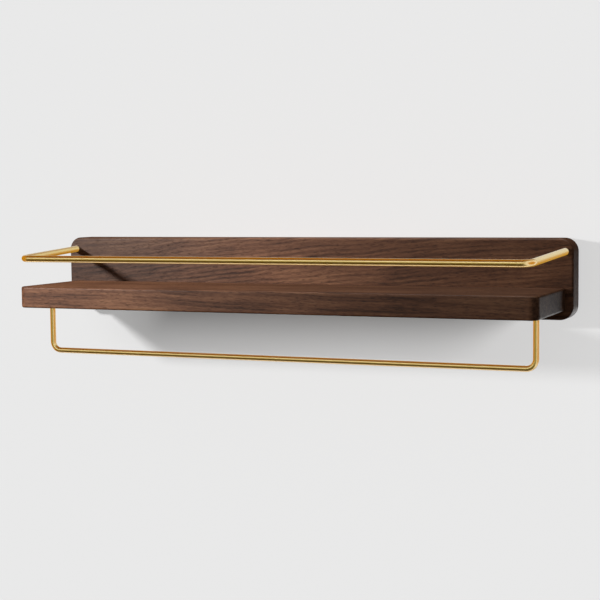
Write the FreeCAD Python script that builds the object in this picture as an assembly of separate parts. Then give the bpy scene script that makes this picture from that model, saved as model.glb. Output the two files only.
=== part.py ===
import FreeCAD, Part
import math
import os

# Wall shelf with a guard rail and a towel bar, in millimetres.
# The origin is the centre of the back board's rear face, which lies on the wall.
# +X runs to the right along the shelf, +Y into the wall and +Z up.

Vector = FreeCAD.Vector

# Back board, flat against the wall
board_length = 450.0
board_height = 63.0
board_thickness = 20.0
board_corner_radius = 10.5      # its four corners, seen from the front
board_front_round = 1.8         # round-over of the front edges
board_rear_round = 0.6          # eased rear edges

# Shelf board, butted against the back board's front face
shelf_depth = 90.0
shelf_thickness = 17.5
shelf_end_setback = 6.4         # each end stops this short of the back board's end
shelf_above_board_foot = 7.2    # its underside above the back board's lower edge
shelf_corner_radius = 7.0       # the two upright front corners
shelf_edge_round = 1.5          # round-over of the front and end edges

# Guard rail: one bent rod, its two arms let into the back board
rail_diameter = 5.5
rail_bend_radius = 8.0          # at the rod's centre line
rail_below_board_top = 10.2     # centre line, where an arm enters the back board
rail_past_shelf_front = 1.5     # centre line in front of the shelf's front edge
rail_inside_shelf_end = 5.1     # centre line at the front, in from the shelf's end
rail_arm_splay = 4.9            # each arm stands out by this much at the back board
rail_arm_droop = 4.7            # the front run hangs this much below the arms' ends
rail_socket_floor = 8.0         # wood left behind each arm's socket

# Towel bar: one bent rod, its two legs let into the shelf's underside
bar_diameter = 4.5
bar_bend_radius = 7.5           # at the rod's centre line
bar_drop = 38.7                 # centre line below the shelf's underside
bar_behind_shelf_front = 36.0
bar_inside_shelf_end = 9.6
bar_socket_floor = 5.5          # wood left above each leg's socket

rod_clearance = 0.1             # round each rod in its socket, filled with adhesive
rod_end_gap = 0.3               # from a rod's end to its socket's floor
rod_end_chamfer = 0.4

# Countersunk wood screws that draw the shelf on to the back board
shelf_screw_count = 4
shelf_screw_end_distance = 44.6 # from the shelf's end to the outermost screw
shelf_screw_diameter = 4.0
shelf_screw_length = 50.0
shelf_screw_head = 8.0
shelf_screw_sink = 0.6          # head below the rear face

# Dowels that stop the shelf from turning on its screws
dowel_diameter = 8.0
dowel_in_shelf = 20.0
dowel_board_floor = 8.0         # wood left behind each dowel
dowel_chamfer = 0.8
dowel_end_gap = 0.5
dowel_clearance = 0.05

# Pan-head machine screws into the tapped ends of the guard rail
rail_screw_diameter = 3.0
rail_screw_length = 13.0        # under the head
rail_screw_head = 5.6
rail_screw_head_height = 2.2
rail_screw_sink = 1.0           # head below the rear face
rail_screw_end_gap = 0.6        # between the screw's end and the tapped hole's floor

# Keyhole hanger plates, let into the rear face
hanger_width = 16.0
hanger_height = 42.0
hanger_thickness = 1.8
hanger_sink = 0.2               # plate below the rear face
hanger_edge_gap = 0.15          # round the plate in its recess
keyhole_entry_diameter = 9.0
keyhole_slot_width = 4.6
keyhole_travel = 10.0           # from the entry's centre up to the slot's end centre
keyhole_entry_drop = 4.5        # the entry's centre below the plate's centre
keyhole_pocket_depth = 7.0      # room for the wall screw's head behind the plate
keyhole_pocket_margin = 1.5     # the pocket is this much wider than the entry

# Countersunk wood screws that hold the hanger plates
hanger_screw_offset = 16.5      # from the plate's centre, up and down
hanger_screw_diameter = 3.0
hanger_screw_length = 12.0
hanger_screw_head = 5.8

screw_clearance = 0.15          # round a screw in a hole that it passes through
thread_clearance = 0.05         # round a thread in the hole that it bites into
screw_tip_gap = 0.5             # between a wood screw's tip and the pilot hole's floor
recess_reach = 0.55             # length of a cross recess, as a share of its head
recess_width = 0.16             # width of each arm, as a share of its head
recess_depth = 0.28             # depth of the recess, as a share of its head
cut_margin = 1.0                # cutting tools run this far out of the wood

# Places that several pieces share
board_half_length = board_length / 2
board_foot = -board_height / 2
board_top = board_height / 2
board_front = -board_thickness
shelf_half_length = board_half_length - shelf_end_setback
shelf_front = board_front - shelf_depth
shelf_underside = board_foot + shelf_above_board_foot
shelf_middle = shelf_underside + shelf_thickness / 2
shelf_screw_half_span = shelf_half_length - shelf_screw_end_distance
shelf_screw_pitch = 2 * shelf_screw_half_span / (shelf_screw_count - 1)
dowel_x = shelf_screw_half_span - shelf_screw_pitch / 2
hanger_x = shelf_screw_half_span - shelf_screw_pitch / 4
rail_y = shelf_front - rail_past_shelf_front
rail_half_span = shelf_half_length - rail_inside_shelf_end
rail_entry_z = board_top - rail_below_board_top
bar_y = shelf_front + bar_behind_shelf_front
bar_z = shelf_underside - bar_drop
bar_half_span = shelf_half_length - bar_inside_shelf_end

TO_FRONT = Vector(0, -1, 0)
UP = Vector(0, 0, 1)
SIDES = {"left": -1, "right": 1}


def rod(start, direction, length, diameter):
    """Plain cylinder from a start point along a direction."""
    return Part.makeCylinder(diameter / 2, length, start, direction)


def chamfered_rod(start, direction, length, diameter, chamfer):
    """Cylinder whose two end edges are chamfered."""
    body = rod(start, direction, length, diameter)
    rims = [edge for edge in body.Edges if len(edge.Vertexes) == 1]
    return body.makeChamfer(chamfer, rims)


def slab(x_low, y_low, z_low, x_high, y_high, z_high):
    """Box between two opposite corners."""
    size = (x_high - x_low, y_high - y_low, z_high - z_low)
    return Part.makeBox(*size, Vector(x_low, y_low, z_low))


def edges_at(shape, test):
    """Edges for which every vertex passes the test."""
    return [edge for edge in shape.Edges if all(test(v.Point) for v in edge.Vertexes)]


def near(a, b):
    """True if two lengths are the same within a hundredth of a millimetre."""
    return abs(a - b) < 0.01


def bent_path(points, radius):
    """Wire of straight runs through the points, with a tangent arc at each corner."""
    edges = []
    start = points[0]
    for before, corner, after in zip(points, points[1:], points[2:]):
        back = (before - corner).normalize()
        ahead = (after - corner).normalize()
        half_angle = back.getAngle(ahead) / 2
        trim = radius / math.tan(half_angle)
        inward = (back + ahead).normalize()
        middle = corner + inward * (radius / math.sin(half_angle) - radius)
        arc_start = corner + back * trim
        arc_end = corner + ahead * trim
        edges.append(Part.LineSegment(start, arc_start).toShape())
        edges.append(Part.Arc(arc_start, middle, arc_end).toShape())
        start = arc_end
    edges.append(Part.LineSegment(start, points[-1]).toShape())
    return Part.Wire(edges)


def bent_rod(points, radius, diameter):
    """Round rod bent along the points, with chamfered ends."""
    path = bent_path(points, radius)
    along = points[1] - points[0]
    section = Part.Wire(Part.makeCircle(diameter / 2, points[0], along))
    body = path.makePipeShell([section], True, False)
    rims = [e for e in body.Edges if len(e.Vertexes) == 1 and is_end_rim(e, points)]
    return body.makeChamfer(rod_end_chamfer, rims)


def is_end_rim(edge, points):
    """True for a full circle centred on the first or the last point."""
    centre = edge.CenterOfMass
    return min((centre - points[0]).Length, (centre - points[-1]).Length) < 0.01


def stadium(centre, width, height, depth):
    """Upright slot shape with round ends, cut to a depth from y = centre.y towards the front."""
    half_run = (height - width) / 2
    lower = rod(centre - UP * half_run, TO_FRONT, depth, width)
    upper = rod(centre + UP * half_run, TO_FRONT, depth, width)
    middle = slab(centre.x - width / 2, centre.y - depth, centre.z - half_run,
                  centre.x + width / 2, centre.y, centre.z + half_run)
    return lower.fuse([upper, middle]).removeSplitter()


def cross_recess(head_top, direction, head_diameter):
    """Cross-shaped driver recess, narrowing towards its floor."""
    reach = recess_reach * head_diameter / 2
    width = recess_width * head_diameter
    depth = recess_depth * head_diameter
    arms = []
    for turn in (0, 90):
        arm = slab(-reach, -width / 2, -depth, reach, width / 2, cut_margin)
        arm.rotate(Vector(0, 0, 0), UP, turn)
        arms.append(arm)
    taper = Part.makeCone(reach * (1 + cut_margin / depth), 0, depth + cut_margin,
                          Vector(0, 0, cut_margin), UP * -1)
    recess = arms[0].fuse(arms[1]).common(taper)
    turn = FreeCAD.Rotation(UP, direction * -1)
    recess.Placement = FreeCAD.Placement(head_top, turn)
    return recess


def countersunk_screw(head_top, direction, length, diameter, head_diameter):
    """Wood screw with a right-angled countersunk head, a plain body and a pointed tip."""
    head_height = (head_diameter - diameter) / 2
    tip = diameter
    body_length = length - tip
    head = Part.makeCone(head_diameter / 2, diameter / 2, head_height, head_top, direction)
    body = rod(head_top, direction, body_length, diameter)
    point = Part.makeCone(diameter / 2, 0, tip, head_top + direction * body_length, direction)
    screw = head.fuse([body, point]).removeSplitter()
    return screw.cut(cross_recess(head_top, direction, head_diameter))


def countersunk_hole(head_top, direction, length, diameter, head_diameter, clearance):
    """Cutter for a countersunk screw, widened by a clearance and open behind its head."""
    head_height = (head_diameter - diameter) / 2
    wide = head_diameter / 2 + clearance
    cone = Part.makeCone(wide, wide - head_height, head_height, head_top, direction)
    mouth = rod(head_top - direction * cut_margin, direction, cut_margin, 2 * wide)
    body = rod(head_top, direction, length, diameter + 2 * clearance)
    return cone.fuse([mouth, body])


def rail_points():
    """Centre-line points of the guard rail, from its left end to its right end."""
    points = []
    for sign in (-1, 1):
        corner = Vector(sign * rail_half_span, rail_y, rail_entry_z - rail_arm_droop)
        entry = Vector(sign * (rail_half_span + rail_arm_splay), board_front, rail_entry_z)
        arm = (entry - corner).normalize()
        socket_depth = board_thickness - rail_socket_floor - rod_end_gap
        end = entry + arm * socket_depth
        points += [end, corner] if sign < 0 else [corner, end]
    return points


def rail_arm(side):
    """End point of one arm inside the back board, and the direction back to the front."""
    points = rail_points()
    end, corner = (points[0], points[1]) if side == "left" else (points[3], points[2])
    return end, (corner - end).normalize()


def rail_screw_seat(side):
    """Point under a rail screw's head on the arm's line, and the way the screw points."""
    end, to_front = rail_arm(side)
    rear = end - to_front * (end.y / to_front.y)
    seat = rear + to_front * (rail_screw_sink + rail_screw_head_height)
    return seat, to_front


def bar_points():
    """Centre-line points of the towel bar, from its left end to its right end."""
    top = shelf_underside + shelf_thickness - bar_socket_floor - rod_end_gap
    points = []
    for sign in (-1, 1):
        end = Vector(sign * bar_half_span, bar_y, top)
        corner = Vector(sign * bar_half_span, bar_y, bar_z)
        points += [end, corner] if sign < 0 else [corner, end]
    return points


def shelf_screw_places():
    """Name and head centre of each screw that holds the shelf."""
    places = {}
    for number in range(shelf_screw_count):
        x = -shelf_screw_half_span + number * shelf_screw_pitch
        places["shelf_screw_%d" % (number + 1)] = Vector(x, -shelf_screw_sink, shelf_middle)
    return places


def hanger_centre(side):
    """Centre of a hanger plate's rear face."""
    return Vector(SIDES[side] * hanger_x, -hanger_sink, 0)


def hanger_screw_places(side):
    """Name and head centre of the two screws of one hanger plate."""
    centre = hanger_centre(side)
    return {
        "hanger_screw_%s_upper" % side: centre + UP * hanger_screw_offset,
        "hanger_screw_%s_lower" % side: centre - UP * hanger_screw_offset,
    }


def keyhole(side, extra, depth):
    """Keyhole cutter, widened by an extra margin, from the plate's rear face to a depth."""
    entry = hanger_centre(side) - UP * keyhole_entry_drop - TO_FRONT * cut_margin
    run = depth + cut_margin
    wide = keyhole_slot_width / 2 + extra
    circle = rod(entry, TO_FRONT, run, keyhole_entry_diameter + 2 * extra)
    end = rod(entry + UP * keyhole_travel, TO_FRONT, run, 2 * wide)
    slot = slab(entry.x - wide, entry.y - run, entry.z,
                entry.x + wide, entry.y, entry.z + keyhole_travel)
    return circle.fuse([end, slot])


def screw_head_pocket(side):
    """Pocket behind a hanger plate in which the wall screw's head moves up."""
    width = keyhole_entry_diameter + 2 * keyhole_pocket_margin
    rise = keyhole_travel
    centre = hanger_centre(side) - UP * (keyhole_entry_drop - rise / 2)
    return stadium(centre, width, rise + width, hanger_thickness + keyhole_pocket_depth)


def hanger_screw_holes(side):
    """Cutters for the two screws of one hanger plate."""
    return [countersunk_hole(place, TO_FRONT, hanger_screw_length + screw_tip_gap,
                             hanger_screw_diameter, hanger_screw_head, thread_clearance)
            for place in hanger_screw_places(side).values()]


def shelf_screw_holes():
    """Cutters for the screws that hold the shelf, through the back board into the shelf."""
    holes = []
    for place in shelf_screw_places().values():
        through = board_thickness - shelf_screw_sink
        holes.append(countersunk_hole(place, TO_FRONT, through, shelf_screw_diameter,
                                      shelf_screw_head, screw_clearance))
        holes.append(rod(place, TO_FRONT, shelf_screw_length + screw_tip_gap,
                         shelf_screw_diameter + 2 * thread_clearance))
    return holes


def dowel_place(side):
    """Centre of a dowel where it crosses from the back board into the shelf."""
    return Vector(SIDES[side] * dowel_x, board_front, shelf_middle)


def dowel_hole(side):
    """Cutter for a dowel, with a gap at each end."""
    in_board = board_thickness - dowel_board_floor
    start = dowel_place(side) - TO_FRONT * in_board
    length = in_board + dowel_in_shelf + dowel_end_gap
    return rod(start, TO_FRONT, length, dowel_diameter + 2 * dowel_clearance)


def rail_socket(side):
    """Cutters for one arm of the guard rail and for the screw behind it."""
    end, to_front = rail_arm(side)
    seat, _ = rail_screw_seat(side)
    floor = end - to_front * rod_end_gap
    depth = board_thickness - rail_socket_floor + cut_margin
    arm_hole = rod(floor, to_front, depth, rail_diameter + 2 * rod_clearance)
    screw_hole = rod(seat, to_front, (floor - seat).Length,
                     rail_screw_diameter + 2 * screw_clearance)
    sunk = rail_screw_sink + rail_screw_head_height + cut_margin
    counterbore = rod(seat - to_front * sunk, to_front, sunk,
                      rail_screw_head + 2 * screw_clearance)
    return [arm_hole, screw_hole, counterbore]


def bar_sockets():
    """Cutters for the two legs of the towel bar."""
    points = bar_points()
    depth = shelf_thickness - bar_socket_floor + cut_margin
    return [rod(end + UP * rod_end_gap, UP * -1, depth, bar_diameter + 2 * rod_clearance)
            for end in (points[0], points[-1])]


def back_board():
    """Board with rounded corners, eased edges, and all holes and recesses."""
    body = slab(-board_half_length, board_front, board_foot,
                board_half_length, 0, board_top)
    uprights = [e for e in body.Edges if near(e.Length, board_thickness)
                and near(e.Vertexes[0].X, e.Vertexes[1].X)
                and near(e.Vertexes[0].Z, e.Vertexes[1].Z)]
    body = body.makeFillet(board_corner_radius, uprights)
    body = body.makeFillet(board_front_round, edges_at(body, lambda p: near(p.y, board_front)))
    body = body.makeFillet(board_rear_round, edges_at(body, lambda p: near(p.y, 0)))
    cutters = shelf_screw_holes()
    for side in SIDES:
        cutters += rail_socket(side)
        cutters.append(dowel_hole(side))
        cutters.append(stadium(hanger_centre(side) - TO_FRONT * cut_margin,
                               hanger_width + 2 * hanger_edge_gap,
                               hanger_height + 2 * hanger_edge_gap,
                               hanger_thickness + cut_margin))
        cutters.append(screw_head_pocket(side))
        cutters += hanger_screw_holes(side)
    return body.cut(cutters)


def shelf_board():
    """Board with two rounded front corners, eased edges and sockets."""
    shelf_top = shelf_underside + shelf_thickness
    body = slab(-shelf_half_length, shelf_front, shelf_underside,
                shelf_half_length, board_front, shelf_top)
    uprights = edges_at(body, lambda p: near(p.y, shelf_front))
    uprights = [e for e in uprights if near(e.Length, shelf_thickness)]
    body = body.makeFillet(shelf_corner_radius, uprights)
    outline = []
    for height in (shelf_underside, shelf_top):
        rim = edges_at(body, lambda p: near(p.z, height))
        outline += [e for e in rim if not near(e.CenterOfMass.y, board_front)]
    body = body.makeFillet(shelf_edge_round, outline)
    cutters = shelf_screw_holes() + bar_sockets()
    cutters += [dowel_hole(side) for side in SIDES]
    return body.cut(cutters)


def guard_rail():
    """Bent rod round the front of the shelf, its two ends drilled for the rail screws."""
    body = bent_rod(rail_points(), rail_bend_radius, rail_diameter)
    for side in SIDES:
        seat, to_front = rail_screw_seat(side)
        body = body.cut(rod(seat, to_front, rail_screw_length + rail_screw_end_gap,
                            rail_screw_diameter + 2 * thread_clearance))
    return body


def towel_bar():
    """Bent rod under the shelf."""
    return bent_rod(bar_points(), bar_bend_radius, bar_diameter)


def rail_screw(side):
    """Pan-head machine screw, drawn with a plain body at the thread's outer diameter."""
    seat, to_front = rail_screw_seat(side)
    top = seat - to_front * rail_screw_head_height
    head = rod(top, to_front, rail_screw_head_height, rail_screw_head)
    rim = [e for e in head.Edges if near((e.CenterOfMass - top).Length, 0)]
    head = head.makeFillet(rail_screw_head_height / 2, rim)
    body = rod(seat, to_front, rail_screw_length, rail_screw_diameter)
    return head.fuse(body).cut(cross_recess(top, to_front, rail_screw_head))


def hanger_plate(side):
    """Steel plate with a keyhole and two countersunk holes."""
    plate = stadium(hanger_centre(side), hanger_width, hanger_height, hanger_thickness)
    cutters = [keyhole(side, 0, hanger_thickness + cut_margin)] + hanger_screw_holes(side)
    return plate.cut(cutters)


def shelf_dowel(side):
    """Beech dowel between the back board and the shelf."""
    in_board = board_thickness - dowel_board_floor - dowel_end_gap
    start = dowel_place(side) - TO_FRONT * in_board
    return chamfered_rod(start, TO_FRONT, in_board + dowel_in_shelf, dowel_diameter,
                         dowel_chamfer)


def all_nodes():
    """Every piece of the shelf, by name."""
    nodes = {
        "back_board": back_board(),
        "shelf_board": shelf_board(),
        "guard_rail": guard_rail(),
        "towel_bar": towel_bar(),
    }
    for name, place in shelf_screw_places().items():
        nodes[name] = countersunk_screw(place, TO_FRONT, shelf_screw_length,
                                        shelf_screw_diameter, shelf_screw_head)
    for side in SIDES:
        nodes["shelf_dowel_" + side] = shelf_dowel(side)
        nodes["rail_screw_" + side] = rail_screw(side)
        nodes["hanger_plate_" + side] = hanger_plate(side)
        for name, place in hanger_screw_places(side).items():
            nodes[name] = countersunk_screw(place, TO_FRONT, hanger_screw_length,
                                            hanger_screw_diameter, hanger_screw_head)
    return nodes


os.makedirs("parts", exist_ok=True)
for node, shape in all_nodes().items():
    solids = shape.Solids
    if len(solids) != 1 or not shape.isValid():
        raise ValueError("%s is not one valid solid" % node)
    solids[0].exportStep("parts/%s.step" % node)
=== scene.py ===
import math

import bpy
import numpy as np
from bpy.props import FloatProperty, FloatVectorProperty, IntProperty, PointerProperty
from mathutils import Matrix, Vector


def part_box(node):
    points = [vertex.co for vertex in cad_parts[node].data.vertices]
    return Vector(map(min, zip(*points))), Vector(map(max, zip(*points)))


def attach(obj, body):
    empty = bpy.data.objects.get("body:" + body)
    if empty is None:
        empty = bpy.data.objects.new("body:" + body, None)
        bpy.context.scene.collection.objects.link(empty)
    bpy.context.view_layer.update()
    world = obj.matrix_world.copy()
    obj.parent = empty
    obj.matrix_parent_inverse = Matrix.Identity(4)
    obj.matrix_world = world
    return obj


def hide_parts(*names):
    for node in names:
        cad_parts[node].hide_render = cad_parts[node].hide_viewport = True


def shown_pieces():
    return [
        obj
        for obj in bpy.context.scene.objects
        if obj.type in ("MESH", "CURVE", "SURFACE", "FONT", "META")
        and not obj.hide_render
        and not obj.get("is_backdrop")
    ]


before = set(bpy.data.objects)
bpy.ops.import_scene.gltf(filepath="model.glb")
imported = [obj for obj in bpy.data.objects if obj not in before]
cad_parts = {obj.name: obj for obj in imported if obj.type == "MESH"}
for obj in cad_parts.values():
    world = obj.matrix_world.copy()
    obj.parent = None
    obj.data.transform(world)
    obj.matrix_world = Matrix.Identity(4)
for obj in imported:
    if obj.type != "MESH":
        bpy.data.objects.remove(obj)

bl_info = {
    "name": "Walnut Wall Shelf",
    "version": (1, 0, 0),
    "blender": (4, 5, 0),
    "location": "3D View > Sidebar > Wall Shelf",
    "description": "Builds the finished pieces of a walnut wall shelf with brass rods",
    "category": "Object",
}

MM = 0.001
TAU = 2 * math.pi
BODY = "root"
SIDES = {"left": -1, "right": 1}
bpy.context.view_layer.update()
BOARD_LOW, BOARD_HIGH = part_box("back_board")
SHELF_LOW, SHELF_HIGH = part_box("shelf_board")
UP = np.array([0.0, 0.0, 1.0])
TO_FRONT = np.array([0.0, -1.0, 0.0])
# These show the studio's bands alone, so lamps and the other pieces don't reflect in them
MIRRORS = ("brass_guard_rail", "brass_towel_bar")
# Joins points of a CAD mesh that lie closer than this
SAME_PLACE = 0.001 * MM
CAMERA_PLACE = Vector((0.4377, -1.0503, 0.0632))
# Degrees to the left, up and anticlockwise
CAMERA_TURN = (23.125, -4.253, -0.578)
SENSOR_WIDTH = 36.0
KEY_PLACE = Vector((-0.52, -0.553, 0.18))
WALL_KEY_PLACE = Vector((-0.4425, -0.44, 0.131))
# Wide lights on the pieces: power, place, target, width and height
WIDE_LIGHTS = {
    "fill": ("fill_power", (0.5, -1.3, 0.9), (0, 0, 0), 1.2, 0.8),
    "rear": ("rear_power", (0.5, 1.2, -0.5), (0, 0, 0), 1.0, 0.7),
    "top": ("top_power", (0, -0.04, 0.9), (0, -0.04, 0), 1.0, 0.3)}
# Half the width of the wall and floor, the wall's top, the floor, and the wall's gap
STAGE_HALF, STAGE_TOP, STAGE_FLOOR, STAGE_GAP = 3.0, 1.8, -0.45, 0.4 * MM
# Paint reflects no more than this share of the light
BRIGHTEST_PAINT = 0.95
TENT_RADIUS, TENT_RINGS, TENT_STEPS = 4.0, 24, 48
# Points round a screw, and rings across its head
SCREW_STEPS, HEAD_RINGS = 40, 40
# Tone of each board at shares of the back board's length, from its left end: partly the
# walnut's own drift, partly painted shade, darker near the key lamp at the back board's left
# end and towards the right end of both boards
BACK_TONE_AND_SHADE = ((0.0, 0.4), (0.16, 0.48), (0.42, 1.0), (0.62, 0.82), (0.72, 0.7), (1.0, 0.58))
SHELF_TONE_AND_SHADE = ((0.0, 1.0), (0.25, 0.95), (0.58, 0.74), (0.8, 0.53), (1.0, 0.5))
# Degrees about the shelf's long axis, and the colour that a mirror sees there
STUDIO_BANDS = ((-180, "#a67f0d"), (-150, "#8a680c"), (-126, "#5c4208"), (-120, "#e6e6ff"),
                (-95, "#e6e6ff"), (-90, "#453800"), (-46, "#3c3000"), (-42, "#241800"),
                (-20, "#241800"), (-14, "#7f7c58"), (8, "#7f7c58"), (13, "#dde7ff"),
                (32, "#dde7ff"), (36, "#4d2e00"), (62, "#4d2e00"), (76, "#80560f"),
                (108, "#80560f"), (140, "#74500f"), (152, "#b8c0c8"), (174, "#b8c0c8"),
                (180, "#a67f0d"))
# Share of the way from the left end to the right, the colour there, and how much of it
STUDIO_ENDS = ((0.0, "#a0780f"), (0.6, "#a0780f"), (0.72, "#8e8c50"), (0.8, "#c6cdf0"),
               (0.9, "#c6cdf0"), (0.93, "#a0780f"))
STUDIO_END_SHARE = ((0.1, 1.0), (0.15, 0.0), (0.68, 0.0), (0.75, 1.0))


def linear(hex_colour):
    """Turns an sRGB hex colour into the linear red, green and blue that shaders take."""
    parts = [int(hex_colour[i:i + 2], 16) / 255 for i in (1, 3, 5)]
    return [c / 12.92 if c <= 0.04045 else ((c + 0.055) / 1.055) ** 2.4 for c in parts]


def length(name, words, millimetres):
    """A length property in metres, with its default given in millimetres."""
    return FloatProperty(name=name, description=words, default=millimetres * MM,
                         min=0, unit="LENGTH", precision=5)


def number(name, words, value, **kinds):
    """A plain number property."""
    return FloatProperty(name=name, description=words, default=value, **kinds)


def colour(name, words, hex_colour):
    """A colour property with its default given as an sRGB hex value."""
    return FloatVectorProperty(name=name, description=words, default=linear(hex_colour),
                               subtype="COLOR", size=3, min=0, max=1)


class ShelfRodSizes(bpy.types.PropertyGroup):
    """Sizes of the two bent brass rods."""
    rail_diameter: length("Rail diameter", "Diameter of the guard rail's rod", 5.5)
    rail_bend: length("Rail bend radius", "Radius of the rail's bends at the centre line", 8.0)
    rail_below_top: length("Rail below board top", "Centre line where an arm enters", 10.2)
    rail_past_front: length("Rail past shelf front", "Centre line in front of the shelf", 1.5)
    rail_inside_end: length("Rail inside shelf end", "Centre line in from the shelf's end", 5.1)
    rail_splay: length("Arm splay", "How far an arm stands out at the back board", 4.9)
    rail_droop: length("Arm droop", "How far the front run hangs below the arms' ends", 4.7)
    rail_floor: length("Wood behind an arm", "Back board left behind each arm", 8.3)
    bar_diameter: length("Bar diameter", "Diameter of the towel bar's rod", 4.5)
    bar_bend: length("Bar bend radius", "Radius of the bar's bends at the centre line", 7.5)
    bar_drop: length("Bar drop", "Centre line below the shelf's underside", 38.7)
    bar_behind_front: length("Bar behind shelf front", "Centre line behind the front", 36.0)
    bar_inside_end: length("Bar inside shelf end", "Legs in from the shelf's ends", 9.6)
    bar_floor: length("Wood above a leg", "Shelf board left above each leg", 5.8)
    rail_bore_depth: length("Rail bore depth", "Tapped hole in each end of the rail", 9.5)
    end_chamfer: length("End chamfer", "Chamfer on the ends of both rods", 0.4)
    round_steps: IntProperty(name="Steps round a rod", description="Faces round each rod",
                             default=56, min=12)
    bend_steps: IntProperty(name="Steps in a bend", description="Rings along each bend",
                            default=28, min=4)


class ShelfScrewSizes(bpy.types.PropertyGroup):
    """Sizes of the screws and dowels."""
    shelf_screw: length("Shelf screw", "Thread diameter of the shelf screws", 4.0)
    shelf_screw_pitch: length("Shelf screw pitch", "Thread pitch of the shelf screws", 1.8)
    hanger_screw: length("Hanger screw", "Thread diameter of the hanger screws", 3.0)
    hanger_screw_pitch: length("Hanger screw pitch", "Thread pitch of the small screws", 1.3)
    rail_screw: length("Rail screw", "Thread diameter of the machine screws", 3.0)
    rail_screw_pitch: length("Rail screw pitch", "Thread pitch of the machine screws", 0.5)
    rail_screw_head: length("Rail screw head", "Diameter of the machine screws' heads", 5.6)
    rail_screw_head_height: length("Rail screw head height", "Height of those heads", 2.2)
    rail_screw_length: length("Rail screw length", "Length under a head", 13.0)
    rail_screw_sink: length("Rail screw sink", "Head below the board's rear face", 1.0)
    dowel_chamfer: length("Dowel chamfer", "Chamfer on the dowels' ends", 0.8)
    flute_depth: length("Flute depth", "Depth of the dowels' flutes", 0.25)
    thread_depth: number("Thread depth", "Share of a wood screw's radius", 0.3,
                         subtype="FACTOR")
    machine_thread_depth: number("Machine thread depth", "Share of the screw's radius", 0.2,
                                 subtype="FACTOR")
    flutes: IntProperty(name="Flutes", description="Flutes round a dowel", default=20, min=6)


class ShelfFinishes(bpy.types.PropertyGroup):
    """Colours of wood and metal."""
    walnut_dark: colour("Walnut, dark grain", "Late wood and streaks", "#4a2d1d")
    walnut_mid: colour("Walnut, heartwood", "Main colour of the boards", "#7a5038")
    walnut_light: colour("Walnut, light grain", "Early wood", "#9c6e4f")
    walnut_pore: colour("Walnut, pores", "Open pores", "#2a1810")
    brass: colour("Polished brass", "Colour of the rods", "#fadb54")
    zinc: colour("Zinc plate", "Colour of screws and hangers", "#c3c7c9")
    beech: colour("Beech", "Colour of the dowels", "#c9a27a")
    grain_slope: number("Grain slope", "Degrees between the grain and the board's edge", 5.5)
    growth_ring: length("Growth ring", "Distance between growth rings", 3.4)


class ShelfStudio(bpy.types.PropertyGroup):
    """Backdrop, lights and camera."""
    wall: colour("Wall", "Colour of the wall and the floor", "#e9e9e9")
    wall_light: number("Wall light", "Light on the wall, over that on a white card", 1.45)
    key_power: number("Key light", "Small light near the left end, on the pieces", 16.5,
                      unit="POWER")
    key_size: length("Key light radius", "Radius of the key light", 25)
    fill_power: number("Fill light", "Wide light from above the camera", 1.0, unit="POWER")
    rear_power: number("Rear light", "Wide light behind the wall", 4.0, unit="POWER")
    top_power: number("Top light", "Wide light straight above the shelf board", 7.0,
                      unit="POWER")
    key_share: number("Key share", "Share of the wall's light from the key light", 0.33,
                      subtype="FACTOR")
    key_flag_end: length("Key flag end", "Where the card for the wall's key ends", 100)
    sun_share: number("Sun share", "Share of the wall's light from the soft sun", 0.6,
                      subtype="FACTOR")
    sun_flag_start: number("Sun flag start", "Where the card for the sun starts", -0.10,
                           unit="LENGTH")
    sun_flag_end: length("Sun flag end", "Where the card for the sun ends", 194)
    sun_turn: number("Sun turn", "Degrees that the sun stands to the right", 34.0)
    sun_rise: number("Sun rise", "Degrees that the sun stands above the floor", 7.4)
    sun_spread: number("Sun spread", "Degrees from the sun's middle to its rim", 15.0)
    band_strength: number("Reflection strength", "Strength of the bands that the rods mirror",
                          2.0)
    lens: number("Lens", "Focal length on a 36 mm wide sensor", 81.13, unit="CAMERA",
                 subtype="DISTANCE_CAMERA")


# ---------------------------------------------------------------- meshes

def grid_mesh(name, points, first_pole, last_pole):
    """Closed tube mesh from a grid of points, rings by steps, wrapped round each ring.
    The poles close the tube's ends with fans of triangles."""
    rings, steps = points.shape[:2]
    vertices = points.reshape(-1, 3)
    index = np.arange(rings * steps).reshape(rings, steps)
    beside = np.roll(index, -1, axis=1)
    quads = np.stack([index[:-1], beside[:-1], beside[1:], index[1:]], -1).reshape(-1, 4)
    vertices = np.vstack([vertices, first_pole, last_pole])
    first, last = (np.full(steps, rings * steps + n) for n in (0, 1))
    faces = quads.tolist() + np.stack([beside[0], index[0], first], -1).tolist()
    faces += np.stack([index[-1], beside[-1], last], -1).tolist()
    mesh = bpy.data.meshes.new(name)
    mesh.from_pydata(vertices.tolist(), [], faces)
    mesh.update()
    return mesh


def show(mesh, material, node, flats=False):
    """Puts a mesh in the scene as a finished piece that stands for a CAD node.

    Edges sharper than 30 degrees stay crisp. With flats, the normals on an edge that is
    rounded over lean to its large flat face."""
    piece = bpy.data.objects.new(mesh.name, mesh)
    bpy.context.scene.collection.objects.link(piece)
    mesh.materials.append(material)
    mesh.shade_smooth()
    mesh.set_sharp_from_angle(angle=math.radians(30))
    if flats:
        even = piece.modifiers.new("flat faces", "WEIGHTED_NORMAL")
        even.weight = 100
        even.keep_sharp = True
    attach(piece, BODY)
    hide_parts(node)


def unit(vectors):
    """Vectors scaled to length one along the last axis."""
    return vectors / np.linalg.norm(vectors, axis=-1, keepdims=True)


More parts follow.
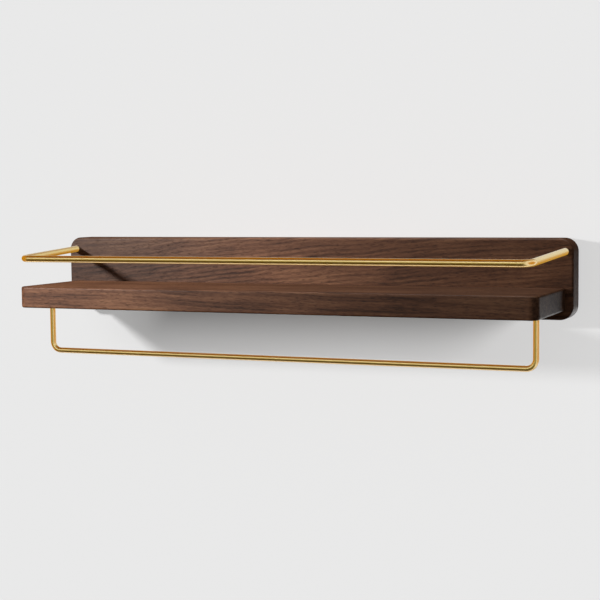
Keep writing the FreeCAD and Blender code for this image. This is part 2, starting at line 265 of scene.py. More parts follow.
def bent_line(corners, radius, run_step, bend_steps):
    """Points and headings along straight runs joined by tangent arcs.

    An arc turns by the angle between two runs. Its points are its centre plus the radius
    times (cosine of the angle so far towards the arc's start, sine along the heading)."""
    corners = np.asarray(corners, float)
    headings = unit(np.diff(corners, axis=0))
    points, tangents = [], []
    start = corners[0]
    for corner, before, after in zip(corners[1:-1], headings[:-1], headings[1:]):
        turn = math.acos(float(before @ after))
        trim = radius * math.tan(turn / 2)
        arc_start = corner - before * trim
        steps = max(2, int(np.linalg.norm(arc_start - start) / run_step))
        share = np.linspace(0, 1, steps, endpoint=False)[:, None]
        points.append(start + (arc_start - start) * share)
        tangents.append(np.repeat(before[None], steps, 0))
        inward = unit(after - before * float(before @ after))
        centre = arc_start + inward * radius
        angle = np.linspace(0, turn, bend_steps + 1)[:-1, None]
        points.append(centre + radius * (before * np.sin(angle) - inward * np.cos(angle)))
        tangents.append(before * np.cos(angle) + inward * np.sin(angle))
        start = corner + after * trim
    steps = max(2, int(np.linalg.norm(corners[-1] - start) / run_step))
    share = np.linspace(0, 1, steps)[:, None]
    points.append(start + (corners[-1] - start) * share)
    tangents.append(np.repeat(headings[-1][None], steps, 0))
    return np.vstack(points), np.vstack(tangents)


def rod_surface(corners, bend, diameter, chamfer, sizes, bore=None):
    """Bent round rod: a circle carried along the line, its plane across the heading.

    The circle's radius is the rod's, less the chamfer at either end. With a bore, given as
    (radius, depth), the surface turns back into each end and is closed at the bore's floor."""
    line, heading = bent_line(corners, bend, 3 * diameter, sizes.bend_steps)
    radius = np.full(len(line), diameter / 2)
    across = unit(np.cross(line[-1] - line[0], line[len(line) // 2] - line[0]))
    ends = []
    for place, way in ((line[0], heading[0]), (line[-1], -heading[-1])):
        along = [chamfer, 0.0]
        reach = [diameter / 2, diameter / 2 - chamfer]
        if bore:
            along += [0.0, bore[1]]
            reach += [bore[0], bore[0]]
        ends.append(([place + way * a for a in along], reach, place + way * along[-1]))
    (first, first_radius, first_pole), (last, last_radius, last_pole) = ends
    line = np.vstack([first[::-1], line[1:-1], last])
    radius = np.concatenate([first_radius[::-1], radius[1:-1], last_radius])
    repeat = len(first)
    heading = np.vstack([np.repeat(heading[:1], repeat, 0), heading[1:-1],
                         np.repeat(heading[-1:], repeat, 0)])
    side = np.cross(across, heading)
    angle = np.arange(sizes.round_steps) * TAU / sizes.round_steps
    circle = (np.cos(angle)[None, :, None] * side[:, None]
              + np.sin(angle)[None, :, None] * across[None, None])
    return line[:, None] + radius[:, None, None] * circle, first_pole, last_pole


def turned(name, start, way, along, reach, steps):
    """Closed mesh turned round an axis that leaves the start point in the given way.

    For each ring and each angle, along gives the place on the axis and reach the distance
    from it, so a point is start + along * way + reach * (cosine * side + sine * other).
    Both may be one number a ring or one a point. Poles close both ends."""
    angle = np.arange(steps) * TAU / steps
    side = unit(np.cross(way, UP))
    other = np.cross(side, way)
    along, reach = (np.broadcast_to(np.reshape(a, (len(a), -1)), (len(a), steps))
                    for a in (along, reach))
    spokes = np.cos(angle)[:, None] * side + np.sin(angle)[:, None] * other
    points = start + along[..., None] * way + reach[..., None] * spokes
    poles = [start + row.mean() * way for row in (along[0], along[-1])]
    return grid_mesh(name, points[:, ::-1], *poles)


def smooth_step(value, start, end):
    """Zero before start, one after end, and 3t^2 - 2t^3 between them."""
    share = np.clip((value - start) / (end - start), 0, 1)
    return share * share * (3 - 2 * share)


def cross_recess(reach, angle, head):
    """Depth of a cross-shaped driver recess at each place on a screw's head.

    An arm's sides slope down 0.09 to 0.07 of the head's width from its middle line, and its
    tip 0.29 to 0.24 from the head's centre. The middle is 0.28 of the head's width deep,
    and the depth halves towards a tip."""
    across, up = reach * np.cos(angle), reach * np.sin(angle)
    longer = np.maximum(np.abs(across), np.abs(up))
    shorter = np.minimum(np.abs(across), np.abs(up))
    arm = 1 - smooth_step(shorter, 0.07 * head, 0.09 * head)
    tip = 1 - smooth_step(longer, 0.24 * head, 0.29 * head)
    return 0.28 * head * arm * tip * (1 - 0.5 * longer / (0.29 * head)).clip(0)


def screw_mesh(name, start, way, head, edge, neck, shank, end, pitch, depth, tip):
    """Screw with a recessed head and a helical thread, from its head's top to its end.

    The head's top is flat and rounded over at its rim with the edge radius. The neck is
    (along, reach) pairs that join the rim to the shank. The thread's radius is the shank's
    less the depth, plus the depth times a narrow ridge where place / pitch - turn is near
    a half. Towards the tip the radius shrinks in a straight line."""
    angle = np.arange(SCREW_STEPS)[None] * TAU / SCREW_STEPS
    top_reach = np.linspace(0.02, 1, HEAD_RINGS)[:, None] * head / 2 + 0 * angle
    over = np.clip(top_reach - (head / 2 - edge), 0, edge)
    top = edge - np.sqrt(edge ** 2 - over ** 2) + cross_recess(top_reach, angle, head)
    neck_along, neck_reach = (np.array(v)[:, None] + 0 * angle for v in zip(*neck))
    thread_start = neck[-1][0]
    count = int((end - thread_start) / pitch * 10)
    thread = np.linspace(thread_start, end, count + 1)[1:, None]
    phase = (thread / pitch - angle / TAU) % 1
    ridge = np.clip(1 - np.abs(phase - 0.5) * 4, 0, 1)
    shown = smooth_step(thread, thread_start, thread_start + 2 * pitch)
    narrow = np.clip((end - thread) / tip, 0.03, 1)
    thread_reach = (shank - depth * (1 - ridge) * shown) * narrow
    along = np.vstack([top, neck_along, thread + 0 * angle])
    reach = np.vstack([top_reach, neck_reach, thread_reach])
    return turned(name, start, way, along, reach, SCREW_STEPS)


def dowel_mesh(name, start, way, long, radius, chamfer, flutes, depth):
    """Fluted dowel: its radius dips by the depth between ridges, flutes times a turn."""
    steps = 8 * flutes
    angle = np.arange(steps)[None] * TAU / steps
    along = np.array([0, 0, chamfer, long - chamfer, long, long])[:, None] + 0 * angle
    share = np.array([0.5, 1 - chamfer / radius, 1, 1, 1 - chamfer / radius, 0.5])[:, None]
    fluted = np.array([0, 0, 1, 1, 0, 0])[:, None]
    dip = depth * (0.5 + 0.5 * np.cos(flutes * angle)) ** 2
    return turned(name, start, way, along, radius * share - dip * fluted, steps)


def cad_copy(node, name):
    """Copy of a CAD node's mesh, its loose triangles joined where their corners meet."""
    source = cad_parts[node].data
    places = np.empty(len(source.vertices) * 3)
    source.vertices.foreach_get("co", places)
    corners = np.empty(len(source.loops), int)
    source.loops.foreach_get("vertex_index", corners)
    nearest = np.round(places.reshape(-1, 3) / SAME_PLACE).astype(int)
    _, first, index = np.unique(nearest, axis=0, return_index=True, return_inverse=True)
    triangles = index.reshape(-1)[corners].reshape(-1, 3)
    whole = (triangles != np.roll(triangles, 1, axis=1)).all(axis=1)
    mesh = bpy.data.meshes.new(name)
    mesh.from_pydata(places.reshape(-1, 3)[first].tolist(), [], triangles[whole].tolist())
    mesh.update()
    return mesh


# ---------------------------------------------------------------- materials

def add(tree, kind, inputs=None, **settings):
    """Adds a shader node, sets its properties, and sets or links its inputs."""
    made = tree.nodes.new(kind)
    for name, value in settings.items():
        setattr(made, name, value)
    for name, value in (inputs or {}).items():
        if isinstance(value, bpy.types.NodeSocket):
            tree.links.new(value, made.inputs[name])
        else:
            made.inputs[name].default_value = value
    return made


def empty_tree(owner):
    """The node tree of a material or a world, with nothing in it."""
    owner.use_nodes = True
    owner.node_tree.nodes.clear()
    return owner.node_tree


def new_material(name):
    """Empty material with its principled shader and its object coordinates."""
    material = bpy.data.materials.new(name)
    tree = empty_tree(material)
    shader = add(tree, "ShaderNodeBsdfPrincipled")
    add(tree, "ShaderNodeOutputMaterial", {"Surface": shader.outputs[0]})
    place = add(tree, "ShaderNodeTexCoord").outputs["Object"]
    return material, tree, shader, place


def set_ramp(ramp, stops):
    """Gives a colour ramp its stops, a list of (position, linear colour)."""
    elements = ramp.color_ramp.elements
    while len(elements) > 1:
        elements.remove(elements[-1])
    for number, (position, shade) in enumerate(stops):
        element = elements[0] if number == 0 else elements.new(position)
        element.position = position
        element.color = (*shade, 1)


def oiled_walnut(name, shift, slope, swing, tone_and_shade):
    """Oiled black walnut, planed and sanded: straight brown grain with open pores.

    The eye sees soft dark and light streaks along the board, faint growth rings that run
    out at a slope, short dark pore dashes, and a low satin sheen that the pores break up.
    Swing is how far the grain wanders, in millimetres. The last argument gives the board's tone
    at shares of its length from its left end: partly the walnut's own drift along its
    heartwood, partly painted shade, darker near the key lamp at the back board's left end and
    towards the right end of both boards."""
    looks = bpy.context.scene.shelf_finishes
    material, tree, shader, place = new_material(name)
    board = add(tree, "ShaderNodeMapping", {
        "Vector": place, "Location": shift, "Scale": (1 / MM,) * 3,
        "Rotation": (0, math.radians(slope), 0)}).outputs[0]
    # Slow bends in the grain, some 90 mm long
    bends = add(tree, "ShaderNodeTexNoise", {"Vector": board, "Scale": 0.011, "Detail": 1.5})
    centred = add(tree, "ShaderNodeVectorMath", {0: bends.outputs["Color"], 1: (0.5,) * 3},
                  operation="SUBTRACT").outputs[0]
    moved = add(tree, "ShaderNodeVectorMath", {0: centred, 1: (0, swing, swing)},
                operation="MULTIPLY").outputs[0]
    grain = add(tree, "ShaderNodeVectorMath", {0: board, 1: moved}).outputs[0]

    def along(stretch):
        return add(tree, "ShaderNodeMapping", {
            "Vector": grain, "Scale": (1 / stretch, 1, 1)}).outputs[0]

    # Growth rings round a pith behind the board. The wave's phase is its scale times 20
    ring_scale = TAU / (20 * looks.growth_ring / MM)
    rings = add(tree, "ShaderNodeTexWave", {
        "Vector": along(6), "Scale": ring_scale, "Distortion": 2.4, "Detail": 3,
        "Detail Scale": 1.4, "Detail Roughness": 0.6},
        wave_type="RINGS", rings_direction="X", wave_profile="SIN").outputs["Fac"]
    # Fibre streaks, 2 mm high and 40 times as long
    streaks = add(tree, "ShaderNodeTexNoise", {
        "Vector": along(40), "Scale": 0.5, "Detail": 5, "Roughness": 0.65}).outputs["Fac"]
    # Broad warm and dark bands, 18 mm high
    bands = add(tree, "ShaderNodeTexNoise", {
        "Vector": along(5), "Scale": 0.055, "Detail": 2}).outputs["Fac"]
    # Flecks of figure, 6 mm by 1 mm
    flecks = add(tree, "ShaderNodeTexNoise", {
        "Vector": along(6), "Scale": 1.0, "Detail": 2, "Roughness": 0.7}).outputs["Fac"]
    mixed = streaks
    for source, weight in ((rings, 0.12), (bands, 0.34), (flecks, 0.22)):
        mixed = add(tree, "ShaderNodeMix", {"Factor": weight, "A": mixed, "B": source},
                    data_type="FLOAT").outputs["Result"]
    tone = add(tree, "ShaderNodeValToRGB", {"Fac": mixed})
    set_ramp(tone, [(0.37, looks.walnut_dark), (0.5, looks.walnut_mid),
                    (0.63, looks.walnut_light)])
    # Pores are 0.1 to 0.2 mm wide on real walnut and are drawn 0.5 mm wide so that they show
    pores = add(tree, "ShaderNodeTexNoise", {
        "Vector": along(10), "Scale": 2.0, "Detail": 1}).outputs["Fac"]
    open_pores = add(tree, "ShaderNodeMapRange", {
        "Value": pores, "From Min": 0.58, "From Max": 0.7}).outputs["Result"]
    pore_share = add(tree, "ShaderNodeMath", {0: open_pores, 1: 0.6}, operation="MULTIPLY")
    wood = add(tree, "ShaderNodeMix", {
        "Factor": pore_share.outputs[0], "A": tone.outputs["Color"],
        "B": (*looks.walnut_pore, 1)}, data_type="RGBA").outputs["Result"]
    # Tone along the board: partly the walnut's own drift, partly painted shade near the key
    # lamp and towards the right end
    across = add(tree, "ShaderNodeSeparateXYZ", {"Vector": place}).outputs["X"]
    share = add(tree, "ShaderNodeMapRange", {
        "Value": across, "From Min": BOARD_LOW.x, "From Max": BOARD_HIGH.x})
    drift_and_shade = add(tree, "ShaderNodeValToRGB", {"Fac": share.outputs["Result"]})
    set_ramp(drift_and_shade, [(spot, (value,) * 3) for spot, value in tone_and_shade])
    toned = add(tree, "ShaderNodeVectorMath", {0: wood, 1: drift_and_shade.outputs["Color"]},
                operation="MULTIPLY")
    tree.links.new(toned.outputs[0], shader.inputs["Base Color"])
    gloss = add(tree, "ShaderNodeMapRange", {
        "Value": streaks, "From Min": 0.3, "From Max": 0.7, "To Min": 0.52, "To Max": 0.42})
    rough = add(tree, "ShaderNodeMath", {0: open_pores, 1: 0.2, 2: gloss.outputs["Result"]},
                operation="MULTIPLY_ADD", use_clamp=True)
    tree.links.new(rough.outputs[0], shader.inputs["Roughness"])
    relief = add(tree, "ShaderNodeMath", {0: open_pores, 1: -1.0, 2: streaks},
                 operation="MULTIPLY_ADD")
    bump = add(tree, "ShaderNodeBump", {
        "Height": relief.outputs[0], "Strength": 0.5, "Distance": 0.06 * MM})
    tree.links.new(bump.outputs[0], shader.inputs["Normal"])
    shader.inputs["IOR"].default_value = 1.5
    shader.inputs["Specular IOR Level"].default_value = 0.25
    return material


def polished_brass():
    """Yellow brass rod, drawn, polished and lacquered: a mirror that tints what it shows.

    Faint polishing haze changes the sharpness of the reflection along the rod."""
    looks = bpy.context.scene.shelf_finishes
    material, tree, shader, place = new_material("polished_brass")
    shader.inputs["Metallic"].default_value = 1.0
    shader.inputs["Base Color"].default_value = (*looks.brass, 1)
    # Haze in patches 11 mm long, and slight waves 3 mm apart
    haze = add(tree, "ShaderNodeTexNoise", {"Vector": place, "Scale": 90.0, "Detail": 4})
    rough = add(tree, "ShaderNodeMapRange", {
        "Value": haze.outputs["Fac"], "From Min": 0.3, "From Max": 0.7,
        "To Min": 0.015, "To Max": 0.04})
    tree.links.new(rough.outputs["Result"], shader.inputs["Roughness"])
    waves = add(tree, "ShaderNodeTexNoise", {"Vector": place, "Scale": 300.0, "Detail": 2})
    bump = add(tree, "ShaderNodeBump", {
        "Height": waves.outputs["Fac"], "Strength": 0.15, "Distance": 0.01 * MM})
    tree.links.new(bump.outputs[0], shader.inputs["Normal"])
    return material


def zinc_plated_steel():
    """Zinc-plated steel, stamped and barrel finished: a cool grey with cloudy patches."""
    looks = bpy.context.scene.shelf_finishes
    material, tree, shader, place = new_material("zinc_plated_steel")
    shader.inputs["Metallic"].default_value = 1.0
    # Clouds in the plating, 4 mm across
    cloud = add(tree, "ShaderNodeTexNoise", {"Vector": place, "Scale": 240.0, "Detail": 5})
    tone = add(tree, "ShaderNodeValToRGB", {"Fac": cloud.outputs["Fac"]})
    dull = [c * 0.72 for c in looks.zinc]
    set_ramp(tone, [(0.35, dull), (0.6, looks.zinc)])
    tree.links.new(tone.outputs["Color"], shader.inputs["Base Color"])
    rough = add(tree, "ShaderNodeMapRange", {
        "Value": cloud.outputs["Fac"], "From Min": 0.3, "From Max": 0.7,
        "To Min": 0.42, "To Max": 0.26})
    tree.links.new(rough.outputs["Result"], shader.inputs["Roughness"])
    bump = add(tree, "ShaderNodeBump", {
        "Height": cloud.outputs["Fac"], "Strength": 0.3, "Distance": 0.02 * MM})
    tree.links.new(bump.outputs[0], shader.inputs["Normal"])
    return material


def turned_beech():
    """Beech dowel stock, turned and pressed: pale pinkish wood with fine short flecks."""
    looks = bpy.context.scene.shelf_finishes
    material, tree, shader, place = new_material("turned_beech")
    # Flecks 1 mm wide and 17 mm long
    along = add(tree, "ShaderNodeMapping", {"Vector": place, "Scale": (900, 60, 900)})
    flecks = add(tree, "ShaderNodeTexNoise", {"Vector": along.outputs[0], "Scale": 1.0,
                                              "Detail": 4})
    tone = add(tree, "ShaderNodeValToRGB", {"Fac": flecks.outputs["Fac"]})
    set_ramp(tone, [(0.35, [c * 0.7 for c in looks.beech]), (0.6, looks.beech)])
    tree.links.new(tone.outputs["Color"], shader.inputs["Base Color"])
    shader.inputs["Roughness"].default_value = 0.6
    bump = add(tree, "ShaderNodeBump", {
        "Height": flecks.outputs["Fac"], "Strength": 0.4, "Distance": 0.04 * MM})
    tree.links.new(bump.outputs[0], shader.inputs["Normal"])
    return material


def finish_of(maker):
    """The material that the function is named for, made the first time it is asked for."""
    return bpy.data.materials.get(maker.__name__) or maker()


# ---------------------------------------------------------------- pieces

class SHELF_OT_boards(bpy.types.Operator):
    """Finish the back board and the shelf board in oiled walnut"""
    bl_idname = "shelf.boards"
    bl_label = "Walnut boards"

    def execute(self, context):
        slope = context.scene.shelf_finishes.grain_slope
        planks = (("back_board", (310, 52, 75), slope, 14, BACK_TONE_AND_SHADE),
                  ("shelf_board", (-170, 190, 46), -0.3 * slope, 4, SHELF_TONE_AND_SHADE))
        for node, shift, tilt, swing, tone_and_shade in planks:
            wood = oiled_walnut("oiled_walnut_" + node, shift, tilt, swing, tone_and_shade)
            show(cad_copy(node, "walnut_" + node), wood, node, flats=True)
        return {"FINISHED"}


def rail_arm(sizes, sign):
    """Front corner, entry into the back board and end of one arm of the guard rail."""
    height = BOARD_HIGH.z - sizes.rail_below_top
    half = SHELF_HIGH.x - sizes.rail_inside_end
    corner = np.array([sign * half, SHELF_LOW.y - sizes.rail_past_front,
                       height - sizes.rail_droop])
    entry = np.array([sign * (half + sizes.rail_splay), BOARD_LOW.y, height])
    depth = BOARD_HIGH.y - BOARD_LOW.y - sizes.rail_floor
    return corner, entry, entry + unit(entry - corner) * depth


class SHELF_OT_guard_rail(bpy.types.Operator):
    """Bend the guard rail and let its arms into the back board"""
    bl_idname = "shelf.guard_rail"
    bl_label = "Guard rail"

    def execute(self, context):
        sizes = context.scene.shelf_rods
        screws = context.scene.shelf_screws
        (left, _, left_end), (right, _, right_end) = (rail_arm(sizes, s) for s in (-1, 1))
        bore = (screws.rail_screw / 2, sizes.rail_bore_depth)
        points, first, last = rod_surface(
            [left_end, left, right, right_end], sizes.rail_bend, sizes.rail_diameter,
            sizes.end_chamfer, sizes, bore)
        show(grid_mesh("brass_guard_rail", points, first, last),
             finish_of(polished_brass), "guard_rail")
        return {"FINISHED"}


class SHELF_OT_towel_bar(bpy.types.Operator):
    """Bend the towel bar and let its legs into the shelf's underside"""
    bl_idname = "shelf.towel_bar"
    bl_label = "Towel bar"

    def execute(self, context):
        sizes = context.scene.shelf_rods
        y = SHELF_LOW.y + sizes.bar_behind_front
        half = SHELF_HIGH.x - sizes.bar_inside_end
        low = SHELF_LOW.z - sizes.bar_drop
        top = SHELF_HIGH.z - sizes.bar_floor
        corners = [(-half, y, top), (-half, y, low), (half, y, low), (half, y, top)]
        points, first, last = rod_surface(corners, sizes.bar_bend, sizes.bar_diameter,
                                          sizes.end_chamfer, sizes)
        show(grid_mesh("brass_towel_bar", points, first, last),
             finish_of(polished_brass), "towel_bar")
        return {"FINISHED"}


class SHELF_OT_hangers(bpy.types.Operator):
    """Finish the keyhole hanger plates in zinc plate"""
    bl_idname = "shelf.hangers"
    bl_label = "Hanger plates"

    def execute(self, context):
        for side in SIDES:
            node = "hanger_plate_" + side
            show(cad_copy(node, "zinc_" + node),
                 finish_of(zinc_plated_steel), node, flats=True)
        return {"FINISHED"}


def head_place(node):
    """Centre of a screw's or dowel's rear end, its length and its width, from its box."""
    low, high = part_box(node)
    return np.array([(low.x + high.x) / 2, high.y, (low.z + high.z) / 2]), \
        high.y - low.y, high.x - low.x


class SHELF_OT_screws(bpy.types.Operator):
    """Turn the wood screws and the machine screws, with threads and recessed heads"""
    bl_idname = "shelf.screws"
    bl_label = "Screws"

    def execute(self, context):
        sizes = context.scene.shelf_screws
        wood_screws = [("shelf_screw_%d" % n, sizes.shelf_screw, sizes.shelf_screw_pitch)
                       for n in range(1, 5)]
        wood_screws += [("hanger_screw_%s_%s" % (side, level), sizes.hanger_screw,
                         sizes.hanger_screw_pitch)
                        for side in SIDES for level in ("upper", "lower")]
        for node, diameter, pitch in wood_screws:
            start, long, head = head_place(node)
            shank = diameter / 2
            neck = [(head / 2 - shank, shank)]
            mesh = screw_mesh("zinc_" + node, start, TO_FRONT, head, 0.0, neck, shank, long,
                              pitch, sizes.thread_depth * shank, 2 * shank)
            show(mesh, finish_of(zinc_plated_steel), node)
        for side, sign in SIDES.items():
            corner, entry, _ = rail_arm(context.scene.shelf_rods, sign)
            way = unit(corner - entry)
            rear = entry - way * (BOARD_HIGH.y - entry[1]) / -way[1]
            start = rear + way * sizes.rail_screw_sink
            tall, shank = sizes.rail_screw_head_height, sizes.rail_screw / 2
            head = sizes.rail_screw_head
            neck = [(tall - 0.1 * MM, head / 2), (tall, head / 2 - 0.1 * MM), (tall, shank)]
            mesh = screw_mesh("zinc_rail_screw_" + side, start, way, head, tall / 2, neck,
                              shank, tall + sizes.rail_screw_length, sizes.rail_screw_pitch,
                              sizes.machine_thread_depth * shank, 0.3 * MM)
            show(mesh, finish_of(zinc_plated_steel), "rail_screw_" + side)
        return {"FINISHED"}


class SHELF_OT_dowels(bpy.types.Operator):
    """Turn the fluted dowels that stop the shelf from turning"""
    bl_idname = "shelf.dowels"
    bl_label = "Dowels"

    def execute(self, context):
        sizes = context.scene.shelf_screws
        for side in SIDES:
            node = "shelf_dowel_" + side
            start, long, width = head_place(node)
            mesh = dowel_mesh("beech_" + node, start, TO_FRONT, long, width / 2,
                              sizes.dowel_chamfer, sizes.flutes, sizes.flute_depth)
            show(mesh, finish_of(turned_beech), node)
        return {"FINISHED"}


# ---------------------------------------------------------------- studio

def hide(thing, *rays):
    """Makes a thing unseen by these kinds of ray."""
    for ray in rays:
        setattr(thing, "visible_" + ray, False)


def staged(mesh):
    """Puts a mesh in the scene as part of the studio."""
    thing = bpy.data.objects.new(mesh.name, mesh)
    bpy.context.scene.collection.objects.link(thing)
    thing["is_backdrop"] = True
    return thing


def plane(name, corners, paint):
    """Painted flat with four corners, whose order turns its face. Only the camera sees it."""
    mesh = bpy.data.meshes.new(name)
    mesh.from_pydata(corners, [], [(0, 1, 2, 3)])
    mesh.materials.append(paint)
    flat = staged(mesh)
    hide(flat, "diffuse", "glossy", "transmission", "shadow")
    return flat


def collect(name, things):
    """Collection of things that a light shines on or is shaded by."""
    made = bpy.data.collections.new(name)
    for thing in things:
        made.objects.link(thing)
    return made


class SHELF_OT_studio(bpy.types.Operator):
    """Set up the pale wall and floor, the soft lights and the camera"""
    bl_idname = "shelf.studio"
    bl_label = "Studio"

    def execute(self, context):
        scene = context.scene
        looks = scene.shelf_studio
        scene.view_settings.view_transform = "Standard"
        lit = [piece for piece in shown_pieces() if piece.name not in MIRRORS]
        for piece in lit:
            hide(piece, "glossy")
        half, gap, deep, high = STAGE_HALF, STAGE_GAP, STAGE_FLOOR, STAGE_TOP
        wall = plane("wall", [(-half, gap, deep), (half, gap, deep), (half, gap, high),
                              (-half, gap, high)], self.wall_paint(looks))
        floor = plane("floor", [(-half, -half, deep), (half, -half, deep),
                                (half, half, deep), (-half, half, deep)],
                      self.floor_paint(looks))
        self.light_pieces(looks, collect("lit_pieces", lit))
        self.light_wall(looks, collect("lit_wall", [wall]))
        self.lamp("floor_sun", "SUN", UP, (0, 0, 0), collect("lit_floor", [floor]),
                  energy=math.pi, use_shadow=False)
        self.tent(looks)
        self.sky(scene)
        self.camera(scene, looks)
        return {"FINISHED"}

    def matt_paint(self, name):
        """Matt paint, seen from its front side only, with its nodes and its shader."""
        paint = bpy.data.materials.new(name)
        tree = empty_tree(paint)
        place = add(tree, "ShaderNodeNewGeometry")
        matt = add(tree, "ShaderNodeBsdfDiffuse")
        clear = add(tree, "ShaderNodeBsdfTransparent")
        one_sided = add(tree, "ShaderNodeMixShader", {
            0: place.outputs["Backfacing"], 1: matt.outputs[0], 2: clear.outputs[0]})
        add(tree, "ShaderNodeOutputMaterial", {"Surface": one_sided.outputs[0]})
        return paint, tree, matt, place

    def floor_paint(self, looks):
        """The wall's colour, as bright as paint can be."""
        paint, _, matt, _ = self.matt_paint("floor_paint")
        matt.inputs["Color"].default_value = (*(BRIGHTEST_PAINT * c for c in looks.wall), 1)
        return paint

    def wall_paint(self, looks):
        """Paint mixed a little darker near the key light, by one over the light that each
        place gets, so that the wall looks even."""
        paint, tree, matt, place = self.matt_paint("wall_paint")
        share = looks.key_share
        reach = add(tree, "ShaderNodeVectorMath", {
            0: place.outputs["Position"], 1: WALL_KEY_PLACE}, operation="DISTANCE")
        closer = add(tree, "ShaderNodeMath", {
            0: WALL_KEY_PLACE.length, 1: reach.outputs["Value"]}, operation="DIVIDE")
        # A lamp's light on a flat wall falls with the cube of the distance to it
        power = add(tree, "ShaderNodeMath", {0: closer.outputs[0], 1: 3.0}, operation="POWER")
        light = add(tree, "ShaderNodeMath", {0: power.outputs[0], 1: share, 2: 1 - share},
                    operation="MULTIPLY_ADD")
        mixed = add(tree, "ShaderNodeMath", {0: 1 / looks.wall_light, 1: light.outputs[0]},
                    operation="DIVIDE")
        bright = add(tree, "ShaderNodeMath", {0: mixed.outputs[0], 1: BRIGHTEST_PAINT},
                     operation="MINIMUM")
        tone = add(tree, "ShaderNodeVectorMath", {
            0: looks.wall, "Scale": bright.outputs[0]}, operation="SCALE")
        tree.links.new(tone.outputs[0], matt.inputs["Color"])
        return paint

    def lamp(self, name, kind, place, target, receivers, **settings):
        """Light at a place, turned to a target, that lights only its receivers."""
        data = bpy.data.lights.new(name, kind)
        for key, value in settings.items():
            setattr(data, key, value)
        light = bpy.data.objects.new(name, data)
        bpy.context.scene.collection.objects.link(light)
        light.location = place
        aim = Vector(target) - Vector(place)
        light.rotation_euler = aim.to_track_quat("-Z", "Y").to_euler()
        light.light_linking.receiver_collection = receivers
        return light

    def light_pieces(self, looks, pieces):
        """Key light near the left end, and wide lights in front, behind and overhead."""
        lights = [self.lamp("key", "POINT", KEY_PLACE, (0, 0, 0), pieces,
                            energy=looks.key_power, shadow_soft_size=looks.key_size)]
        for name, (power, place, target, wide, high) in WIDE_LIGHTS.items():
            lights.append(self.lamp(name, "AREA", place, target, pieces,
                                    energy=getattr(looks, power), shape="RECTANGLE",
                                    size=wide, size_y=high))
        for light in lights:
            self.shade(light, *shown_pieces())

    def light_wall(self, looks, wall):
        """The key light's twin, and a soft sun from the right, on the wall alone.

        Their shares of the light on the wall at the origin are key_share and sun_share.
        The rods throw no shadow there, and cards stand in for the shelf board."""
        whole = math.pi * looks.wall_light
        fall = -WALL_KEY_PLACE.y / WALL_KEY_PLACE.length ** 3
        power = 4 * math.pi * whole * looks.key_share / fall
        wall_key = self.lamp("wall_key", "POINT", WALL_KEY_PLACE, (0, 0, 0), wall,
                             energy=power, shadow_soft_size=looks.key_size)
        board = bpy.data.objects["walnut_back_board"]
        self.shade(wall_key, board, self.flag("key_flag", SHELF_LOW.x, looks.key_flag_end))
        turn, rise = (math.radians(a) for a in (looks.sun_turn, looks.sun_rise))
        way = Vector((math.sin(turn) * math.cos(rise), -math.cos(turn) * math.cos(rise),
                      math.sin(rise)))
        sun = self.lamp("wall_sun", "SUN", way, (0, 0, 0), wall,
                        energy=whole * looks.sun_share / -way.y,
                        angle=math.radians(2 * looks.sun_spread))
        self.shade(sun, self.flag("sun_flag", looks.sun_flag_start, looks.sun_flag_end))

    def flag(self, name, left, right):
        """Unseen card inside the shelf board, from left to right. It shades the wall in
        the shelf's place, so that each lamp's shadow ends short of one end."""
        inside = 0.5 * MM
        share = np.array([[x, y, z] for x in (0, 1) for y in (0, 1) for z in (0, 1)])
        low = np.array([left, SHELF_LOW.y, SHELF_LOW.z]) + inside
        high = np.array([right, SHELF_HIGH.y, SHELF_HIGH.z]) - inside
        faces = [(0, 1, 3, 2), (4, 6, 7, 5), (0, 4, 5, 1), (2, 3, 7, 6), (0, 2, 6, 4),
                 (1, 5, 7, 3)]
        mesh = bpy.data.meshes.new(name)
        mesh.from_pydata((low + (high - low) * share).tolist(), [], faces)
        card = staged(mesh)
        hide(card, "camera", "diffuse", "glossy", "transmission")
        return card

    def shade(self, light, *blockers):
        """Only these objects cast a shadow from the light."""
        light.light_linking.blocker_collection = collect(light.name, blockers)

    def tent(self, looks):
        """Ball of bright and dim cloth round the studio, that only the rods mirror.

        Ball: the cosine of the dip along the shelf, and its sine times the cosine and the
        sine of the turn across it."""
        dip, turn = np.meshgrid(np.linspace(0, math.pi, TENT_RINGS + 2)[1:-1],
                                np.linspace(0, TAU, TENT_STEPS, endpoint=False),
                                indexing="ij")
        points = TENT_RADIUS * np.stack([np.cos(dip), np.sin(dip) * np.cos(turn),
                                         np.sin(dip) * np.sin(turn)], -1)
        mesh = grid_mesh("reflection_tent", points, (TENT_RADIUS, 0, 0), (-TENT_RADIUS, 0, 0))
        mesh.materials.append(self.tent_cloth(looks))
        ball = staged(mesh)
        ball.light_linking.receiver_collection = collect(
            "mirrors", [bpy.data.objects[name] for name in MIRRORS])
        hide(ball, "camera", "diffuse", "transmission", "shadow")

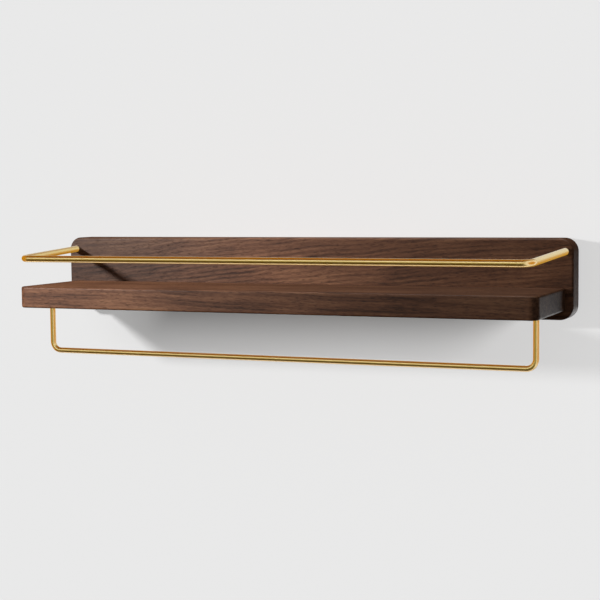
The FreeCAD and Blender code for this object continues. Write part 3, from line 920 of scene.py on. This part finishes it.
    def tent_cloth(self, looks):
        """Glowing cloth in bands, which follow the angle about the shelf's long axis.

        The angle is 0 in front, a quarter turn overhead and half a turn behind. Panels are
        bright and pale in front and below, and the rest is dim and warm. Other panels
        close the ends, and a mirror that stands upright shows those."""
        cloth = bpy.data.materials.new("tent_cloth")
        cloth.cycles.emission_sampling = "NONE"
        tree = empty_tree(cloth)
        place = add(tree, "ShaderNodeTexCoord").outputs["Object"]
        parts = add(tree, "ShaderNodeSeparateXYZ", {"Vector": place})
        front = add(tree, "ShaderNodeMath", {0: parts.outputs["Y"], 1: -1.0},
                    operation="MULTIPLY")
        angle = add(tree, "ShaderNodeMath", {0: parts.outputs["Z"], 1: front.outputs[0]},
                    operation="ARCTAN2")
        level = add(tree, "ShaderNodeMapRange", {
            "Value": angle.outputs[0], "From Min": -math.pi, "From Max": math.pi})
        bands = add(tree, "ShaderNodeValToRGB", {"Fac": level.outputs["Result"]})
        set_ramp(bands, [((turn + 180) / 360, linear(shade)) for turn, shade in STUDIO_BANDS])
        across = add(tree, "ShaderNodeMapRange", {
            "Value": parts.outputs["X"], "From Min": -TENT_RADIUS,
            "From Max": TENT_RADIUS})
        ends = add(tree, "ShaderNodeValToRGB", {"Fac": across.outputs["Result"]})
        set_ramp(ends, [(spot, linear(shade)) for spot, shade in STUDIO_ENDS])
        at_end = add(tree, "ShaderNodeValToRGB", {"Fac": across.outputs["Result"]})
        set_ramp(at_end, [(spot, (share,) * 3) for spot, share in STUDIO_END_SHARE])
        cloths = add(tree, "ShaderNodeMix", {
            "Factor": at_end.outputs["Color"], "A": bands.outputs["Color"],
            "B": ends.outputs["Color"]}, data_type="RGBA").outputs["Result"]
        glow = add(tree, "ShaderNodeEmission", {"Color": cloths,
                                                "Strength": looks.band_strength})
        add(tree, "ShaderNodeOutputMaterial", {"Surface": glow.outputs[0]})
        return cloth

    def sky(self, scene):
        """Pale surroundings to the camera, and a soft even light to the pieces."""
        looks = scene.shelf_studio
        world = bpy.data.worlds.new("studio")
        scene.world = world
        world.cycles_visibility.glossy = False
        tree = empty_tree(world)
        path = add(tree, "ShaderNodeLightPath")
        seen = add(tree, "ShaderNodeBackground", {"Color": (*looks.wall, 1)})
        even = 1 - looks.key_share - looks.sun_share
        ambient = add(tree, "ShaderNodeBackground", {
            "Color": (1, 1, 1, 1), "Strength": looks.wall_light * even})
        whole = add(tree, "ShaderNodeMixShader", {
            0: path.outputs["Is Camera Ray"], 1: ambient.outputs[0], 2: seen.outputs[0]})
        add(tree, "ShaderNodeOutputWorld", {"Surface": whole.outputs[0]})

    def camera(self, scene, looks):
        """Camera to the right of the shelf, a little above it, turned towards the left."""
        data = bpy.data.cameras.new("camera")
        data.sensor_width = SENSOR_WIDTH
        data.lens = looks.lens
        data.clip_start = 0.01
        camera = bpy.data.objects.new("camera", data)
        scene.collection.objects.link(camera)
        yaw, pitch, roll = (math.radians(angle) for angle in CAMERA_TURN)
        ahead = Vector((-math.sin(yaw) * math.cos(pitch), math.cos(yaw) * math.cos(pitch),
                        math.sin(pitch)))
        right = ahead.cross(Vector(UP)).normalized()
        up = right.cross(ahead)
        turned_right = math.cos(roll) * right + math.sin(roll) * up
        turned_up = -math.sin(roll) * right + math.cos(roll) * up
        turn = Matrix((turned_right, turned_up, -ahead)).transposed().to_4x4()
        camera.matrix_world = Matrix.Translation(CAMERA_PLACE) @ turn
        scene.camera = camera


# ---------------------------------------------------------------- add-on

STEPS = (SHELF_OT_boards, SHELF_OT_guard_rail, SHELF_OT_towel_bar, SHELF_OT_hangers,
         SHELF_OT_screws, SHELF_OT_dowels, SHELF_OT_studio)


class SHELF_PT_panel(bpy.types.Panel):
    """Lists the steps and the sizes of the wall shelf"""
    bl_idname = "SHELF_PT_panel"
    bl_label = "Wall Shelf"
    bl_space_type = "VIEW_3D"
    bl_region_type = "UI"
    bl_category = "Wall Shelf"

    def draw(self, context):
        for step in STEPS:
            self.layout.operator(step.bl_idname)
        for name, group in GROUPS.items():
            box = self.layout.box()
            for key in group.__annotations__:
                box.prop(getattr(context.scene, name), key)


GROUPS = {"shelf_rods": ShelfRodSizes, "shelf_screws": ShelfScrewSizes,
          "shelf_finishes": ShelfFinishes, "shelf_studio": ShelfStudio}
CLASSES = (*GROUPS.values(), *STEPS, SHELF_PT_panel)


def register():
    for cls in CLASSES:
        bpy.utils.register_class(cls)
    for name, group in GROUPS.items():
        setattr(bpy.types.Scene, name, PointerProperty(type=group))


def unregister():
    for name in GROUPS:
        delattr(bpy.types.Scene, name)
    for cls in reversed(CLASSES):
        bpy.utils.unregister_class(cls)


def main():
    """Builds every piece in order."""
    register()
    for step in STEPS:
        family, name = step.bl_idname.split(".")
        getattr(getattr(bpy.ops, family), name)()


if __name__ == "__main__":
    main()
